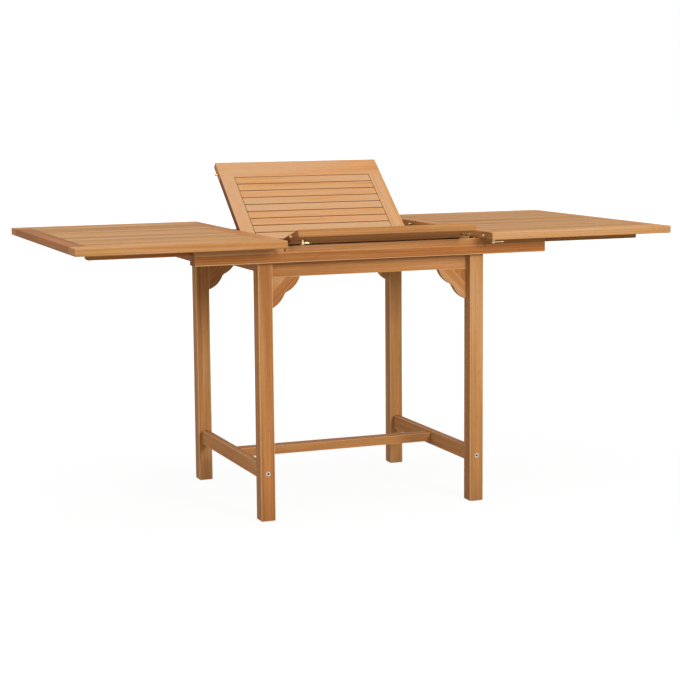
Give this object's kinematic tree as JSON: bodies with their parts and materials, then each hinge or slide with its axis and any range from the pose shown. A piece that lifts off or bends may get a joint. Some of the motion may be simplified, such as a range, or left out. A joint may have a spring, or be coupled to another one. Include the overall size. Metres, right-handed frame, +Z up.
{
  "type": "extending garden table",
  "caption": "Teak butterfly-leaf garden table: framed slatted tops slide apart on guide rails and a hinged leaf folds up between them.",
  "frame": {"origin": "on the floor, midway between the four legs", "axes": "+X along the table to the right, +Y to the back, +Z up"},
  "size_m": [1.677, 0.8078, 0.9252],
  "materials": {
    "teak": "fine sanded, lightly oiled",
    "brass": "polished, slightly dulled",
    "steel": "satin stainless"
  },
  "bodies": {
    "base": {"apron_front": "teak", "apron_left": "teak", "apron_rear": "teak", "apron_right": "teak", "bracket_front_left": "teak", "bracket_front_right": "teak", "bracket_rear_left": "teak", "bracket_rear_right": "teak", "centre_stretcher": "teak", "end_cross_rail_left": "teak", "end_cross_rail_right": "teak", "guide_beam_front": "teak", "guide_beam_rear": "teak", "guide_strip_front": "teak", "guide_strip_rear": "teak", "leaf_pivot_bolts": "steel", "leaf_pivot_rail_left": "teak", "leaf_pivot_rail_right": "teak", "leg_front_left": "teak", "leg_front_right": "teak", "leg_rear_left": "teak", "leg_rear_right": "teak", "side_stretcher_left": "teak", "side_stretcher_right": "teak", "stretcher_bolts": "steel"},
    "leaf_front": {"leaf_front_dowels": "brass", "leaf_front_hinge_leaves": "brass", "leaf_front_rails": "teak", "leaf_front_screws": "brass", "leaf_front_slats": "teak", "leaf_front_stiles": "teak", "leaf_front_striker": "brass"},
    "leaf_front_hook": {"leaf_front_hook": "brass"},
    "leaf_rear": {"leaf_rear_arm_left": "teak", "leaf_rear_arm_right": "teak", "leaf_rear_dowels": "brass", "leaf_rear_hinge_leaves": "brass", "leaf_rear_rails": "teak", "leaf_rear_screws": "brass", "leaf_rear_slats": "teak", "leaf_rear_stiles": "teak", "leaf_rear_striker": "brass"},
    "leaf_rear_hook": {"leaf_rear_hook": "brass"},
    "left_panel": {"left_panel_bushes": "brass", "left_panel_rails": "teak", "left_panel_screws": "brass", "left_panel_slats": "teak", "left_panel_stiles": "teak", "left_panel_strikers": "brass", "left_runner_front": "teak", "left_runner_rear": "teak"},
    "right_panel_hook_front": {"right_panel_hook_front": "brass"},
    "right_panel_hook_rear": {"right_panel_hook_rear": "brass"},
    "right_panel": {"right_panel_pins": "brass", "right_panel_rails": "teak", "right_panel_screws": "brass", "right_panel_slats": "teak", "right_panel_stiles": "teak", "right_runner_front": "teak", "right_runner_rear": "teak"}
  },
  "joints": [
    {"name": "left_panel_slide", "type": "slide", "parent": "base", "child": "left_panel", "axis": [-1, 0, 0], "range_m": [-0.0255, 0.025]},
    {"name": "right_panel_slide", "type": "slide", "parent": "base", "child": "right_panel", "axis": [1, 0, 0], "range_m": [-0.0505, 0]},
    {"name": "leaf_pivot", "type": "hinge", "parent": "base", "child": "leaf_rear", "pos_m": [0, 0.1, 0.688], "axis": [1, 0, 0], "range_deg": [-39.3, 88]},
    {"name": "leaf_fold", "type": "hinge", "parent": "leaf_rear", "child": "leaf_front", "pos_m": [0, -0.01691, 0.67295], "axis": [-1, 0, 0], "range_deg": [-54.6, 122.2]},
    {"name": "leaf_front_hook_swivel", "type": "hinge", "parent": "leaf_front", "child": "leaf_front_hook", "pos_m": [-0.226, -0.36774, 0.7471], "axis": [0, -0.2621, -0.965], "range_deg": [0, 180]},
    {"name": "leaf_rear_hook_swivel", "type": "hinge", "parent": "leaf_rear", "child": "leaf_rear_hook", "pos_m": [-0.226, 0.27305, 0.88391], "axis": [0, -0.6334, 0.7738], "range_deg": [0, 180]},
    {"name": "right_panel_front_hook_swivel", "type": "hinge", "parent": "right_panel", "child": "right_panel_hook_front", "pos_m": [0.325, -0.358, 0.73], "axis": [0, 0, -1], "range_deg": [0, 180]},
    {"name": "right_panel_rear_hook_swivel", "type": "hinge", "parent": "right_panel", "child": "right_panel_hook_rear", "pos_m": [0.325, 0.358, 0.73], "axis": [0, 0, 1], "range_deg": [0, 180]}
  ],
  "couplings": [
    {"joint": "leaf_fold", "follows": "leaf_pivot", "ratio": 1.3866}
  ]
}
